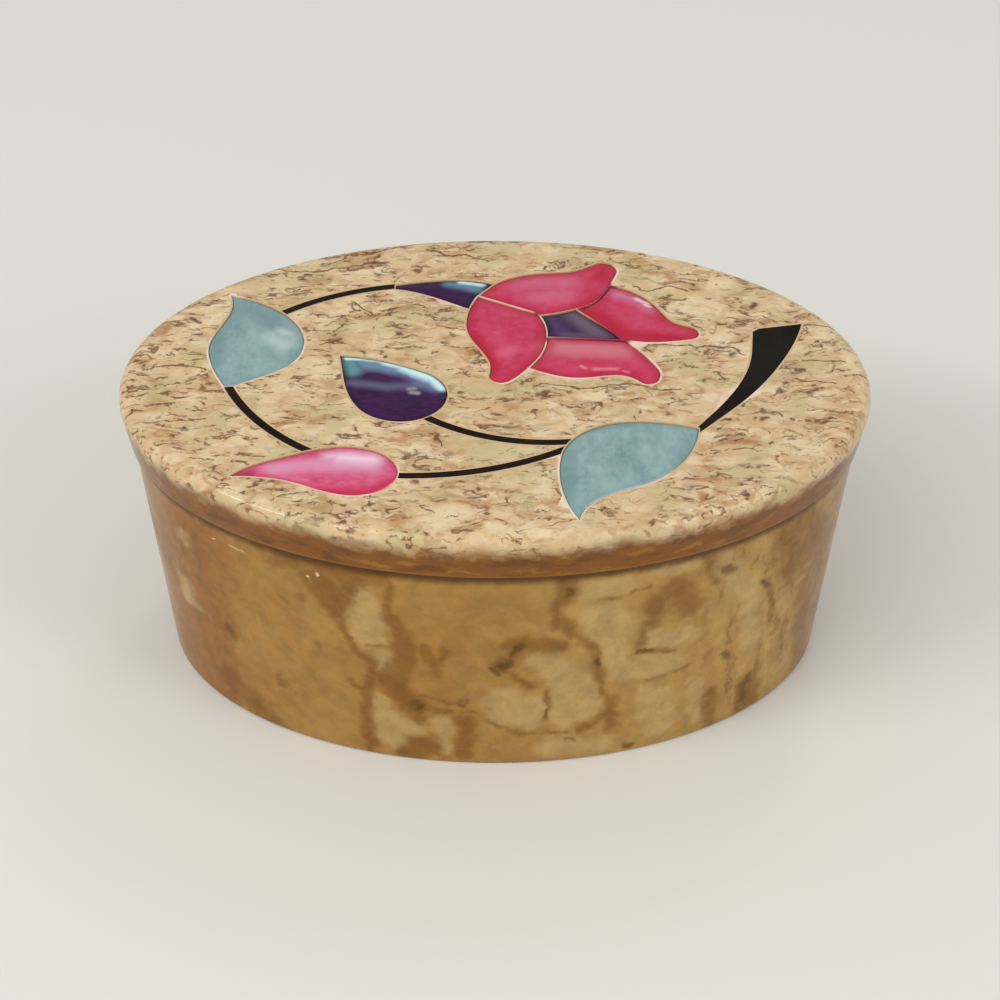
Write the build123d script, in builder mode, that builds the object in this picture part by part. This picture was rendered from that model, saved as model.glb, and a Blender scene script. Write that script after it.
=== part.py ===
from build123d import *
from math import cos, radians, sin
import os

# An oval soapstone box with a loose lid. A flower spray of shell and black stone is
# let into the top of the lid. The origin is the middle of the underside, X runs along
# the long axis and Z is up. All lengths are in millimetres.

# The lid's widest line, and the heights
lid_length = 127.0
lid_width = 90.0
base_height = 44.3
lid_height = 8.8

# The oval is drawn with arcs of three radii. The end's radius is a share of an ellipse's,
# and the angles are the directions in which the arcs meet, from the long axis.
end_radius_share = 1.05
end_arc_angle = 35.7
shoulder_arc_angle = 65.8

# How far each edge of the side stands in from the lid's widest line
foot_setback = 6.35
mouth_setback = 1.85
lid_edge_setback = 1.25

# The hollow, and the plug under the lid that seats in its mouth
wall_thickness = 7.0
floor_thickness = 8.0
plug_depth = 3.0
plug_clearance = 0.5

# Rounded edges, and the edges that are only broken
lid_edge_round = 2.2
hollow_round = 4.0
foot_chamfer = 0.6
seam_chamfer = 0.3
plug_chamfer = 0.8

# The inlay and its cement
inlay_thickness = 1.2
bed_thickness = 0.3
cement_line = 0.35
joint_line = 0.2
stem_width = 1.5

# The spray is drawn on a grid of about a millimetre, which fills the lid inside a border
motif_border = 3.0
motif_half_columns = 60.5
motif_half_rows = 42.0

half_length = lid_length / 2
half_width = lid_width / 2
total_height = base_height + lid_height
column_step = (half_length - motif_border) / motif_half_columns
row_step = (half_width - motif_border) / motif_half_rows
pocket_floor = total_height - inlay_thickness - bed_thickness


# The radii of the end, shoulder and side arcs, which together reach from the oval's end to
# the middle of its long side. The last two are what is left along X and along Y.
def oval_radii():
    end_radius = end_radius_share * half_width**2 / half_length
    end_across, end_along = cos(radians(end_arc_angle)), sin(radians(end_arc_angle))
    side_across, side_along = cos(radians(shoulder_arc_angle)), sin(radians(shoulder_arc_angle))
    left_x = half_length - end_radius * (1 - end_across)
    left_y = half_width - end_radius * end_along
    shoulder_x, shoulder_y = end_across - side_across, side_along - end_along
    side_x, side_y = side_across, 1 - side_along
    scale = shoulder_x * side_y - side_x * shoulder_y
    shoulder_radius = (left_x * side_y - side_x * left_y) / scale
    side_radius = (shoulder_x * left_y - left_x * shoulder_y) / scale
    return end_radius, shoulder_radius, side_radius


# An oval that stands in from the lid's widest line, at a height
def oval(height, setback):
    end_radius, shoulder_radius, side_radius = oval_radii()
    with BuildSketch(Plane.XY.offset(height)) as ring:
        with BuildLine():
            side = JernArc(
                (0, half_width - setback), (1, 0), side_radius - setback, shoulder_arc_angle - 90
            )
            shoulder = JernArc(
                side @ 1, side % 1, shoulder_radius - setback, end_arc_angle - shoulder_arc_angle
            )
            JernArc(shoulder @ 1, shoulder % 1, end_radius - setback, -end_arc_angle)
            mirror(about=Plane.XZ)
            mirror(about=Plane.YZ)
        make_face()
    return ring.sketch


# The outside of the base leans in evenly from the mouth to the foot
def side_setback(height):
    return foot_setback + (mouth_setback - foot_setback) * height / base_height


def hollow_setback(height):
    return side_setback(height) + wall_thickness


# A place in the spray's drawing, from its column and row
def at(column, row):
    return (column * column_step, row * row_step)


# Two arcs that meet smoothly, leave the start in one direction and reach the end in another
def arc_pair(start, leaving, end, arriving):
    chord = end - start
    along = chord.dot(leaving + arriving)
    turn = 2 * (1 - leaving.dot(arriving))
    reach = ((along**2 + turn * chord.dot(chord)) ** 0.5 - along) / turn
    meeting = (start + leaving * reach + end - arriving * reach) / 2
    first = TangentArc(start, meeting, tangent=leaving)
    TangentArc(meeting, end, tangent=first % 1)


# A smooth run of arcs through points, in the directions that a spline takes there
def arc_run(points):
    guide = Spline(*points, mode=Mode.PRIVATE)
    between = [guide.tangent_at(point) for point in points[1:-1]]
    directions = [guide % 0, *between, guide % 1]
    for leg in zip(points, directions, points[1:], directions[1:]):
        arc_pair(*leg)


# A closed outline from its sides. A side starts at a corner, runs smoothly through its
# points and ends at the first point of the next side.
def outline(*sides):
    with BuildSketch() as shape:
        with BuildLine():
            for side, following in zip(sides, sides[1:] + sides[:1]):
                points = [Vector(at(*place)) for place in side + following[:1]]
                if len(points) == 2:
                    Line(*points)
                else:
                    arc_run(points)
        make_face()
    return shape.sketch


# A strip of even width along an arc
def stem(start, middle, end):
    with BuildSketch() as strip:
        with BuildLine():
            ThreePointArc(at(*start), at(*middle), at(*end))
        trace(line_width=stem_width)
    return strip.sketch


# A shape made wider all round
def widened(shape, line):
    with BuildSketch() as wider:
        offset(shape, amount=line)
    return wider.sketch


# A piece is cut back from the pieces set before it, and its largest bit is kept
def coped(shape, set_before):
    with BuildSketch() as trimmed:
        add(shape)
        for neighbour in set_before:
            add(widened(neighbour, joint_line), mode=Mode.SUBTRACT)
    return Sketch() + trimmed.sketch.faces().sort_by(SortBy.AREA)[-1]


def leaves():
    leaf_left = outline(
        [(-46.5, 25.1), (-40.0, 22.0), (-34.7, 16.5), (-32.8, 10.6), (-34.9, 3.4), (-38.7, 0.3)],
        [(-43.9, -2.9)],
        [(-45.5, -3.1), (-48.2, 3.4), (-49.0, 9.5), (-47.4, 15.3), (-45.9, 21.5)],
    )
    leaf_right = outline(
        [(33.4, -15.2), (24.5, -13.3), (17.0, -14.6), (11.9, -19.4), (10.2, -27.5), (11.3, -35.5)],
        [(13.1, -40.0), (14.5, -36.5), (18.8, -33.0), (25.0, -30.0), (30.3, -24.5), (32.9, -18.5)],
    )
    leaf_purple = outline(
        [(-26.5, 6.2), (-21.2, 5.3), (-14.0, 2.4), (-9.7, -0.6), (-8.0, -5.2), (-9.7, -10.4),
         (-14.5, -13.2), (-20.9, -11.5), (-24.4, -6.0), (-25.8, 1.0)],
    )
    flower_bud = outline(
        [(-42.9, -28.4), (-39.8, -25.7), (-34.5, -23.1), (-29.8, -21.2), (-23.8, -20.3),
         (-18.1, -22.6), (-15.8, -27.2), (-17.4, -31.3), (-22.6, -33.5), (-28.3, -32.0),
         (-34.0, -29.4), (-38.3, -28.5)],
    )
    return {
        "leaf_left": leaf_left,
        "leaf_right": leaf_right,
        "leaf_purple": leaf_purple,
        "flower_bud": flower_bud,
    }


def flower():
    petal_front = outline(
        [(-2.9, 24.9)],
        [(7.4, 19.3), (8.7, 15.5), (8.8, 10.8), (7.7, 6.3), (5.6, 2.5), (3.3, -0.7), (1.1, -2.1),
         (-0.6, -1.3), (-0.8, 2.0), (-2.6, 8.2), (-4.6, 13.0), (-4.7, 19.0)],
    )
    petal_top = outline(
        [(-2.9, 24.8)],
        [(0.0, 28.7), (3.1, 30.9), (8.9, 32.5), (14.2, 33.2), (17.2, 34.9), (19.6, 36.0),
         (21.6, 34.4), (21.2, 30.5), (19.4, 26.2), (17.2, 22.8)],
        [(14.2, 20.8), (10.8, 19.5)],
        [(6.0, 18.6)],
    )
    petal_right = outline(
        [(18.5, 27.8), (22.2, 27.6), (25.3, 25.5), (28.6, 20.9), (31.7, 16.1), (35.0, 14.0),
         (35.2, 12.3), (31.5, 10.6), (26.5, 10.2)],
        [(21.9, 11.2), (20.0, 14.0), (17.4, 17.1)],
        [(14.0, 21.2)],
    )
    petal_lower = outline(
        [(7.5, 11.9)],
        [(22.4, 10.8), (24.6, 7.8), (26.7, 4.2), (27.9, -0.2), (26.6, -2.4), (22.4, -0.2),
         (17.4, -0.2), (12.7, -0.5), (8.9, 0.7)],
        [(4.6, 3.2)],
    )
    flower_heart = outline([(6.4, 19.3)], [(15.2, 21.8)], [(22.4, 10.8)], [(7.4, 11.2)])
    flower_calyx = outline(
        [(-17.5, 28.5), (-12.0, 29.7), (-5.3, 30.1)],
        [(0.8, 28.4)],
        [(-3.6, 20.2), (-8.7, 23.3), (-12.6, 25.5)],
        [(-17.5, 27.1)],
    )
    return {
        "petal_front": petal_front,
        "petal_top": petal_top,
        "petal_right": petal_right,
        "petal_lower": petal_lower,
        "flower_heart": flower_heart,
        "flower_calyx": flower_calyx,
    }


def stems():
    return {
        "stem_upper": stem((-37.4, 19.0), (-28.0, 24.9), (-16.8, 28.1)),
        "stem_left": stem((-45.0, -2.6), (-39.7, -12.4), (-29.8, -21.9)),
        "stem_lower": stem((-16.5, -28.2), (0.0, -26.2), (12.0, -20.6)),
        "stem_branch": stem((-12.0, -11.6), (-1.0, -17.7), (13.5, -18.8)),
        "flared_stalk": outline(
            [(32.4, -16.0), (36.8, -9.9), (40.9, -2.9), (43.4, 4.0), (44.4, 11.3)],
            [(44.6, 13.4)],
            [(45.7, 14.4)],
            [(53.3, 15.9), (51.6, 10.4), (48.2, 3.0), (43.5, -4.7), (38.2, -11.2)],
            [(32.8, -17.2)],
        ),
    }


# Places where a pocket was cut too large, so that the cement shows wider
def cement_patches():
    corners = [
        [(-46.9, 26.1), (-45.2, 25.5), (-46.0, 24.4)],
        [(-36.4, 19.4), (-34.0, 17.8), (-34.3, 16.2)],
        [(-10.6, 24.4), (-9.5, 22.1), (-6.6, 21.9)],
        [(22.2, 11.0), (26.9, 10.2), (24.7, 7.9)],
        [(4.4, 0.8), (5.7, 2.9), (7.0, 1.5)],
        [(10.5, -33.4), (9.7, -36.2), (11.6, -37.2)],
        [(36.0, -11.0), (37.8, -5.9), (41.0, -2.8)],
        [(42.0, -6.9), (44.4, -5.4), (44.7, -3.2)],
        [(10.6, -19.3), (12.3, -18.6), (11.3, -21.2)],
    ]
    return [outline(*[[corner] for corner in patch]) for patch in corners]


# The pieces in the order in which they are set. Each is drawn a little under those set
# before it, and is then fitted to them.
drawn = leaves() | flower() | stems()
shapes = list(drawn.values())
inlays = {
    name: coped(shape, shapes[:turn]) for turn, (name, shape) in enumerate(drawn.items())
}

# The pocket takes every piece with a line of cement round it
with BuildSketch() as pocket:
    for shape in shapes:
        add(widened(shape, cement_line))
    for patch in cement_patches():
        add(patch)

# The lower box, one block, hollowed with an even wall
with BuildPart() as box_base:
    add(oval(0, foot_setback))
    add(oval(base_height, mouth_setback))
    loft(ruled=True)
    add(oval(floor_thickness, hollow_setback(floor_thickness)))
    add(oval(base_height, hollow_setback(base_height)))
    loft(ruled=True, mode=Mode.SUBTRACT)
    rings = box_base.edges().filter_by(Plane.XY).group_by(Axis.Z)
    fillet(rings[1], radius=hollow_round)
    rings = box_base.edges().filter_by(Plane.XY).group_by(Axis.Z)
    chamfer(rings[0], length=foot_chamfer)
    chamfer(rings[-1], length=seam_chamfer)

# The lid leans out to its widest line just under the rounded edge. The plug under it is
# sized to the hollow where the plug ends.
round_share = lid_edge_round / (lid_height - lid_edge_round)
with BuildPart() as lid_slab:
    add(oval(base_height, lid_edge_setback))
    add(oval(total_height, -lid_edge_setback * round_share))
    loft(ruled=True)
    lid_rings = lid_slab.edges().filter_by(Plane.XY).group_by(Axis.Z)
    fillet(lid_rings[-1], radius=lid_edge_round)
    chamfer(lid_rings[0], length=seam_chamfer)
    add(oval(base_height - plug_depth, hollow_setback(base_height - plug_depth) + plug_clearance))
    extrude(amount=plug_depth)
    chamfer(lid_slab.edges().filter_by(Plane.XY).group_by(Axis.Z)[0], length=plug_chamfer)
    with BuildSketch(Plane.XY.offset(pocket_floor)):
        add(pocket.sketch)
    extrude(amount=total_height - pocket_floor, mode=Mode.SUBTRACT)


# A piece of the inlay, flush with the top of the lid
def inlay_piece(shape, name):
    with BuildPart() as piece:
        with BuildSketch(Plane.XY.offset(total_height - inlay_thickness)):
            add(shape)
        extrude(amount=inlay_thickness)
    piece.part.label = name
    return piece.part


inlay_parts = [inlay_piece(shape, name) for name, shape in inlays.items()]

# The cement fills what the pieces leave of the pocket
with BuildPart() as setting_cement:
    with BuildSketch(Plane.XY.offset(pocket_floor)):
        add(pocket.sketch)
    extrude(amount=total_height - pocket_floor)
    for part in inlay_parts:
        add(part, mode=Mode.SUBTRACT)

box_base.part.label = "box_base"
lid_slab.part.label = "lid_slab"
setting_cement.part.label = "setting_cement"

os.makedirs("parts", exist_ok=True)
export_step(box_base.part, "parts/box_base.step")
export_step(lid_slab.part, "parts/lid_slab.step")
export_step(setting_cement.part, "parts/setting_cement.step")
for part in inlay_parts:
    export_step(part, f"parts/{part.label}.step")
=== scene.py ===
import math

import bmesh
import bpy
import numpy as np
from mathutils import Matrix, Vector, geometry


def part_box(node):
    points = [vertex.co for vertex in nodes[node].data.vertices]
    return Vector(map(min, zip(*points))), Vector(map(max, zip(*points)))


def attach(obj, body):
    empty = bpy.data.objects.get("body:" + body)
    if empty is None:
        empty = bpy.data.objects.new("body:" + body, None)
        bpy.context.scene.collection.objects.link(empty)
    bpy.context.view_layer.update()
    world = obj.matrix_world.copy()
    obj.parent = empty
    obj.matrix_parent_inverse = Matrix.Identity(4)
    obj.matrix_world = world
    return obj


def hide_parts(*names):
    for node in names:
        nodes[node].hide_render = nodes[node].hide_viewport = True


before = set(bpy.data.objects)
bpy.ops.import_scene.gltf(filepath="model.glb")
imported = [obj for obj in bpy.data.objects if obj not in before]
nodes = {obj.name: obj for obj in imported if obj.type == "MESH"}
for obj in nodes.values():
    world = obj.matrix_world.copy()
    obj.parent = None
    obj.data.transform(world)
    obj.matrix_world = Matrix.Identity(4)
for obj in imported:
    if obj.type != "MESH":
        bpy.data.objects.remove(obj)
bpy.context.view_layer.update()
mm = 0.001
print("frame loaded with", len(nodes), "pieces")

photoCamera = {
    "target": (0, 0, 26.54),  # millimetres
    "azimuth": -0.5065,  # degrees round the box from straight in front
    "elevation": 37.0976,
    "roll": 0.2616,
    "distance": 466.074,
    "slide": (0.9015, 0.2265),  # how far the lens stands right and up of the target
    "lens": 95.96,
}


def addCamera(values):
    azimuth, elevation, roll = (math.radians(values[k]) for k in ("azimuth", "elevation", "roll"))
    back = Vector((
        math.sin(azimuth) * math.cos(elevation),
        -math.cos(azimuth) * math.cos(elevation),
        math.sin(elevation),
    ))
    right = Vector((math.cos(azimuth), math.sin(azimuth), 0))
    up = back.cross(right)
    place = Vector(values["target"]) + values["slide"][0] * right + values["slide"][1] * up
    place += values["distance"] * back
    data = bpy.data.cameras.new("photoCamera")
    data.lens = values["lens"]
    data.sensor_width = 36
    data.clip_start = 0.01
    camera = bpy.data.objects.new("photoCamera", data)
    turn = Matrix((
        math.cos(roll) * right + math.sin(roll) * up,
        math.cos(roll) * up - math.sin(roll) * right,
        back,
    )).transposed()
    camera.matrix_world = Matrix.Translation(place * mm) @ turn.to_4x4()
    bpy.context.scene.collection.objects.link(camera)
    bpy.context.scene.camera = camera


addCamera(photoCamera)
print("camera placed")


drawing = None  # the node tree that the functions below add to


def drawIn(tree):
    global drawing
    drawing = tree
    return tree


def addNode(kind, inputs=None, **settings):
    node = drawing.nodes.new(kind)
    for name, value in settings.items():
        setattr(node, name, value)
    for key, value in (inputs or {}).items():
        if isinstance(value, bpy.types.NodeSocket):
            drawing.links.new(value, node.inputs[key])
        else:
            node.inputs[key].default_value = value
    return node


def doMath(operation, *values):
    return addNode("ShaderNodeMath", dict(enumerate(values)), operation=operation).outputs[0]


def plus(first, second):
    return doMath("ADD", first, second)


def minus(first, second):
    return doMath("SUBTRACT", first, second)


def times(first, second):
    return doMath("MULTIPLY", first, second)


def doVector(operation, *values, out=0, **more):
    inputs = dict(enumerate(values)) | more
    return addNode("ShaderNodeVectorMath", inputs, operation=operation).outputs[out]


def shifted(place, step):
    return doVector("ADD", place, step)


def scaled(place, factors):
    return doVector("MULTIPLY", place, factors)


def axis(place, number):  # 0, 1 or 2 for X, Y or Z
    return addNode("ShaderNodeSeparateXYZ", {0: place}).outputs[number]


def between(value, low, high, start=0, end=1):  # start at low and end at high, with a soft step
    inputs = {0: value, 1: low, 2: high, 3: start, 4: end}
    node = addNode("ShaderNodeMapRange", inputs, interpolation_type="SMOOTHSTEP", clamp=True)
    return node.outputs[0]


def colour(red, green, blue):  # a screen colour, 0 to 255, as the values that nodes use
    return tuple(((c / 255 + 0.055) / 1.055) ** 2.4 for c in (red, green, blue)) + (1.0,)


def mixColour(share, first, second, blend="MIX"):
    inputs = {0: share, 6: first, 7: second}
    node = addNode("ShaderNodeMix", inputs, data_type="RGBA", blend_type=blend, clamp_factor=True)
    return node.outputs[2]


def noise(place, size, detail=3, roughness=0.5, out=0):
    scale = doMath("DIVIDE", 1, size) if isinstance(size, bpy.types.NodeSocket) else 1 / size
    inputs = {"Vector": place, "Scale": scale, "Detail": detail, "Roughness": roughness}
    return addNode("ShaderNodeTexNoise", inputs).outputs[out]


def startGroup(name, **inputs):  # every group has a Place before its other inputs
    tree = drawIn(bpy.data.node_groups.new(name, "ShaderNodeTree"))
    for label, value in {"Place": (0, 0, 0), **inputs}.items():
        kind = "NodeSocketVector" if isinstance(value, tuple) else "NodeSocketFloat"
        socket = tree.interface.new_socket(name=label, in_out="INPUT", socket_type=kind)
        socket.default_value = value
    return tree.nodes.new("NodeGroupInput").outputs


def endGroup(kind="NodeSocketFloat", **outputs):
    for label in outputs:
        drawing.interface.new_socket(name=label, in_out="OUTPUT", socket_type=kind)
    results = drawing.nodes.new("NodeGroupOutput").inputs
    for label, value in outputs.items():
        drawing.links.new(value, results[label])
    return drawing


def useGroup(group, inputs):
    return addNode("ShaderNodeGroup", inputs, node_tree=group).outputs


def makeWobble():  # pushes a pattern about, so that its edges wander
    given = startGroup("wobble", Size=5, Reach=1)
    push = noise(given["Place"], given["Size"], detail=4, roughness=0.55, out=1)
    push = doVector("SUBTRACT", push, (0.5, 0.5, 0.5))
    push = doVector("SCALE", push, Scale=given["Reach"])
    return endGroup("NodeSocketVector", Place=shifted(given["Place"], push))


def makeCracks():  # thin wandering lines, broken into short lengths
    given = startGroup("brokenCracks", Size=5, Width=0.03, Cover=0.5)
    height = noise(given["Place"], given["Size"], detail=2.5)
    ridge = doMath("ABSOLUTE", minus(height, 0.5))
    line = between(ridge, 0, given["Width"], 1, 0)
    moved = shifted(given["Place"], (37, 11, 5))
    gate = noise(moved, times(given["Size"], 0.8), detail=3)
    closed = minus(0.75, times(given["Cover"], 0.5))
    gate = between(gate, closed, plus(closed, 0.08))
    return endGroup(Mask=times(line, gate))


def makeMark():  # a soft-edged bar or spot from one place to another
    given = startGroup("placedMark", From=(0, 0, 0), To=(1, 0, 0), Radius=1, Softness=0.5)
    arm = doVector("SUBTRACT", given["Place"], given["From"])
    bar = doVector("SUBTRACT", given["To"], given["From"])
    along = doVector("DOT_PRODUCT", arm, bar, out=1)
    length = doMath("MAXIMUM", doVector("DOT_PRODUCT", bar, bar, out=1), 0.0001)
    share = addNode("ShaderNodeClamp", {0: doMath("DIVIDE", along, length)}).outputs[0]
    nearest = doVector("SCALE", bar, Scale=share)
    apart = doVector("DISTANCE", arm, nearest, out=1)
    inner = minus(given["Radius"], given["Softness"])
    outer = plus(given["Radius"], given["Softness"])
    return endGroup(Mask=between(apart, inner, outer, 1, 0))


def makeClasts():  # broken lumps of stone with veins between them
    given = startGroup("stoneLumps", Size=12, Vein=0.12)
    scale = doMath("DIVIDE", 1, given["Size"])
    cells = {"Vector": given["Place"], "Scale": scale, "Randomness": 1}
    lump = addNode("ShaderNodeTexVoronoi", cells, feature="F1").outputs["Color"]
    edge = addNode("ShaderNodeTexVoronoi", cells, feature="DISTANCE_TO_EDGE").outputs["Distance"]
    tone = addNode("ShaderNodeSeparateColor", {0: lump}).outputs[0]
    width = noise(given["Place"], given["Size"], detail=2)
    width = times(given["Vein"], between(width, 0.35, 0.65, 0.2, 2))
    return endGroup(Tone=tone, Vein=between(edge, 0, width, 1, 0))


def makeHandling():  # fine grain, faint rubbing scratches and duller patches on a polished face
    given = startGroup("handledPolish", Grain=0.6, Smooth=0.2, Dull=0.4)
    patches = between(noise(given["Place"], 9, detail=4), 0.35, 0.7)
    grain = noise(given["Place"], given["Grain"], detail=3, roughness=0.6)
    stretched = scaled(given["Place"], (0.25, 1.6, 1.6))
    rubs = between(noise(stretched, 0.9, detail=2), 0.66, 0.72)
    rubs = times(rubs, patches)
    share = plus(times(patches, 0.7), times(rubs, 0.3))
    roughness = between(share, 0, 1, given["Smooth"], given["Dull"])
    return endGroup(Roughness=roughness, Height=minus(grain, times(rubs, 0.4)))


def makeNacre():  # cloudy growth bands of polished shell
    given = startGroup("shellClouds", Size=4, Stretch=(1, 1, 1))
    laid = scaled(given["Place"], given["Stretch"])
    cloud = noise(laid, given["Size"], detail=4, roughness=0.55)
    fine = noise(laid, times(given["Size"], 0.22), detail=3, roughness=0.6)
    streak = between(fine, 0.35, 0.7)
    return endGroup(Cloud=between(cloud, 0.3, 0.7), Streak=streak, Height=cloud)


wobble = makeWobble()
brokenCracks = makeCracks()
placedMark = makeMark()
stoneLumps = makeClasts()
handledPolish = makeHandling()
shellClouds = makeNacre()
print("shared effects ready")


def wobbled(place, size, reach):
    return useGroup(wobble, {"Place": place, "Size": size, "Reach": reach})["Place"]


def lumpsOf(place, size, vein):
    return useGroup(stoneLumps, {"Place": place, "Size": size, "Vein": vein})


def polished(place, grain, smooth, dull):
    return useGroup(handledPolish, {"Place": place, "Grain": grain, "Smooth": smooth, "Dull": dull})


def newMaterial(name):  # a material, its shader and the place in millimetres
    material = bpy.data.materials.new(name)
    material.use_nodes = True
    tree = drawIn(material.node_tree)
    where = addNode("ShaderNodeTexCoord").outputs["Object"]
    return material, tree.nodes["Principled BSDF"], doVector("SCALE", where, Scale=1 / mm)


def onTop(spot):  # the X and Y of a mark on the lid
    return (*spot, 0)


def onFront(spot):  # the X and Z of a mark on the base's front
    return (spot[0], 0, spot[1])


def addMarks(place, marks, lay, soften=1):  # the strongest of several marks
    total = None
    for start, end, radius, softness in marks:
        inputs = {"Place": place, "From": lay(start), "To": lay(end), "Radius": radius}
        mask = useGroup(placedMark, inputs | {"Softness": softness * soften})["Mask"]
        total = mask if total is None else doMath("MAXIMUM", total, mask)
    return total


def addLayers(place, layers, lay, paint, ragged=None, soften=1):  # marks, one colour over another
    for tint, share, marks in layers:
        mask = addMarks(place, marks, lay, soften)
        if ragged is not None:
            mask = between(plus(mask, ragged), 0.06, 1)
        paint = mixColour(times(mask, share), paint, tint)
    return paint


def finishSurface(shader, paint, roughness, height, strength, depth):
    drawing.links.new(paint, shader.inputs["Base Color"])
    drawing.links.new(roughness, shader.inputs["Roughness"])
    bump = addNode("ShaderNodeBump", {"Strength": strength, "Distance": depth, "Height": height})
    drawing.links.new(bump.outputs[0], shader.inputs["Normal"])


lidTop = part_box("lid_slab")[1].z / mm
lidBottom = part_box("box_base")[1].z / mm  # the seam, where the lid rests on the base

lidStone = {
    "tan": colour(210, 180, 136),
    "pale": colour(228, 207, 170),
    "pink": colour(208, 164, 126),
    "green": colour(196, 180, 134),
    "rust": colour(178, 122, 76),
    "fissure": colour(146, 98, 54),
    "crack": colour(90, 44, 14),
    "side": colour(127, 74, 6),
    "sideDark": colour(102, 55, 2),
    # also the colour of the painted highlight along the lid's lower edge
    "sidePale": colour(152, 101, 27),
    "sideBand": (1.3, 4.9),  # how far below the top the brown of the side starts and is full
    "gloss": 0.23,
    "crackRadius": 0.2,
    "crackSoftness": 0.16,
    "crackShare": 0.85,
    "cracks": [  # the long ones on the top, each through its points in X and Y
        [(-44, 34), (-38, 33.5), (-31, 33), (-26, 34.5), (-20, 36)],
        [(-23, 39), (-15, 42), (-8, 43.5), (0, 43)],
        [(-12, 40.6), (-9, 38.4), (-5, 38.8), (-1, 36.5)],
        [(24.5, 27.7), (27.6, 26.4), (31, 28), (34, 26.5)],
        [(-25, 23), (-21, 19)],
        [(26, 9.5), (33, 9.2), (40.5, 8.3), (43, 6.4)],
        [(7.5, -2.5), (15, -3.5), (23, -2.5), (26, -4), (31, -4)],
        [(-57.5, 2.6), (-53, 3.4), (-49, 1.8)],
        [(51, 15), (55, 15.8), (59.6, 14.4)],
        [(52.6, 4.6), (59.4, 4.1)],
        [(50.4, -1), (57.6, -2.2)],
    ],
    "spots": [  # darker inclusions: from, to, radius, softness
        ((45.2, 21.4), (45.9, 22.3), 0.7, 0.4), ((-14.2, 33), (-13.6, 33.2), 0.6, 0.4),
        ((-6.2, -5), (-5.8, -5.2), 0.5, 0.4), ((44.3, -12.5), (44.8, -12.4), 0.5, 0.4),
        ((41, -8.5), (41.2, -8.2), 0.4, 0.3), ((-13.2, -30), (-12.6, -30.2), 0.5, 0.4),
        ((-52.8, 17.4), (-51.4, 16.6), 0.4, 0.3), ((36.6, 35), (37.4, 35.4), 0.5, 0.4),
    ],
}


def makeLidStone(values):
    material, shader, place = newMaterial("soapstoneLid")
    drifting = wobbled(place, 9, 5)
    jagged = wobbled(drifting, 1.8, 1.9)
    laid = scaled(jagged, (0.6, 1, 1))
    combed = scaled(wobbled(drifting, 3.5, 2.4), (0.32, 1, 1))
    patches = lumpsOf(laid, 5.4, 0.034)
    chips = lumpsOf(laid, 2.2, 0.2)
    mottle = noise(laid, 3.4, detail=6, roughness=0.62)
    clusters = noise(shifted(drifting, (31, 5, 0)), 6, detail=4)
    paint = mixColour(between(mottle, 0.38, 0.6), values["pale"], values["tan"])
    paint = mixColour(between(patches["Tone"], 0.5, 1, 0, 0.4), paint, values["pale"])
    paint = mixColour(between(chips["Tone"], 0.6, 1, 0, 0.3), paint, values["pink"])
    greenish = between(noise(shifted(drifting, (50, 0, 9)), 8), 0.46, 0.66, 0, 0.75)
    paint = mixColour(greenish, paint, values["green"])
    reddish = between(noise(shifted(combed, (0, 70, 3)), 2.6, detail=5), 0.52, 0.7)
    reddish = times(reddish, between(clusters, 0.4, 0.58, 0.25, 0.8))
    paint = mixColour(reddish, paint, values["rust"])

    # the brown of the side, under a ragged line
    level = axis(place, 2)
    ragged = plus(level, between(mottle, 0.3, 0.7, -1.1, 1.1))
    starts, full = (lidTop - drop for drop in values["sideBand"])
    side = between(ragged, full, starts, 0.97, 0)
    sideTone = noise(scaled(jagged, (0.4, 0.4, 1.3)), 3, detail=5, roughness=0.6)
    sidePaint = mixColour(between(sideTone, 0.48, 0.66), values["side"], values["sideDark"])
    sidePaint = mixColour(between(sideTone, 0.46, 0.32), sidePaint, values["sidePale"])
    paint = mixColour(side, paint, sidePaint)

    # the cracks, from the finest to the long ones
    fine = times(chips["Vein"], between(clusters, 0.46, 0.62))
    fine = times(fine, between(side, 0, 1, 0.42, 0.1))
    paint = mixColour(fine, paint, values["fissure"])
    gaps = noise(shifted(jagged, (7, 43, 0)), 2.6, detail=3)
    wide = times(patches["Vein"], between(gaps, 0.52, 0.6))
    inputs = {"Place": combed, "Size": 1.8, "Width": 0.085, "Cover": 0.52}
    squiggles = useGroup(brokenCracks, inputs)["Mask"]
    crowded = plus(clusters, between(axis(place, 0), -12, -40, 0, 0.1))
    squiggles = times(squiggles, between(crowded, 0.38, 0.58, 0.3, 1))
    size = (values["crackRadius"], values["crackSoftness"])
    cracks = [(a, b, *size) for path in values["cracks"] for a, b in zip(path, path[1:])]
    flat = scaled(wobbled(place, 2.6, 2.6), (1, 1, 0))
    long = times(addMarks(flat, cracks + values["spots"], onTop), between(side, 0.6, 0))
    dark = times(doMath("MAXIMUM", wide, squiggles), between(side, 0.2, 0.8, 1, 0.12))
    dark = doMath("MAXIMUM", dark, long)
    paint = mixColour(times(dark, values["crackShare"]), paint, values["crack"])
    # painted highlight: a pale line along the lid's lower edge, where light catches its round
    lipHighlight = between(level, lidBottom + 0.3, lidBottom + 0.9, 0.5, 0)
    paint = mixColour(lipHighlight, paint, values["sidePale"])
    polish = polished(place, 0.5, 0.14, 0.32)
    height = minus(polish["Height"], times(dark, 0.8))
    finishSurface(shader, paint, polish["Roughness"], height, 0.3, 0.00005)
    shader.inputs["Specular IOR Level"].default_value = values["gloss"]
    return material


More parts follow.
